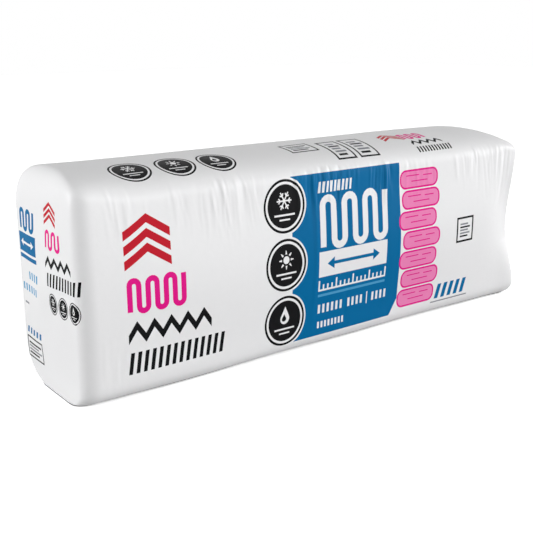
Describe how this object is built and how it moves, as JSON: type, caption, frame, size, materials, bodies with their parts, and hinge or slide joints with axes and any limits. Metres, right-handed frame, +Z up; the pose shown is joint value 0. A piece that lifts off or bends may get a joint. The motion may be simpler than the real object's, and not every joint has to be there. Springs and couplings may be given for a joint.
{
  "type": "bagged insulation batts",
  "caption": "Sealed white plastic bag packed with compressed kraft-faced fibreglass insulation batts, lying on its long narrow side.",
  "frame": {"origin": "middle of the bag's footprint, at the height of the floor it rests on", "axes": "+X along the bag towards its sealed end, +Z up, -Y towards the side that carries the larger printed panel"},
  "size_m": [1.2, 0.2872, 0.414],
  "materials": {
    "film": "soft gloss, opaque white polyethylene film",
    "glass_wool": "matt straw-yellow glass wool"
  },
  "bodies": {
    "root": {"film_bag": "film", "batt_1": "glass_wool", "batt_2": "glass_wool", "batt_3": "glass_wool", "batt_4": "glass_wool", "batt_5": "glass_wool", "batt_6": "glass_wool", "batt_7": "glass_wool", "batt_8": "glass_wool"}
  },
  "joints": []
}
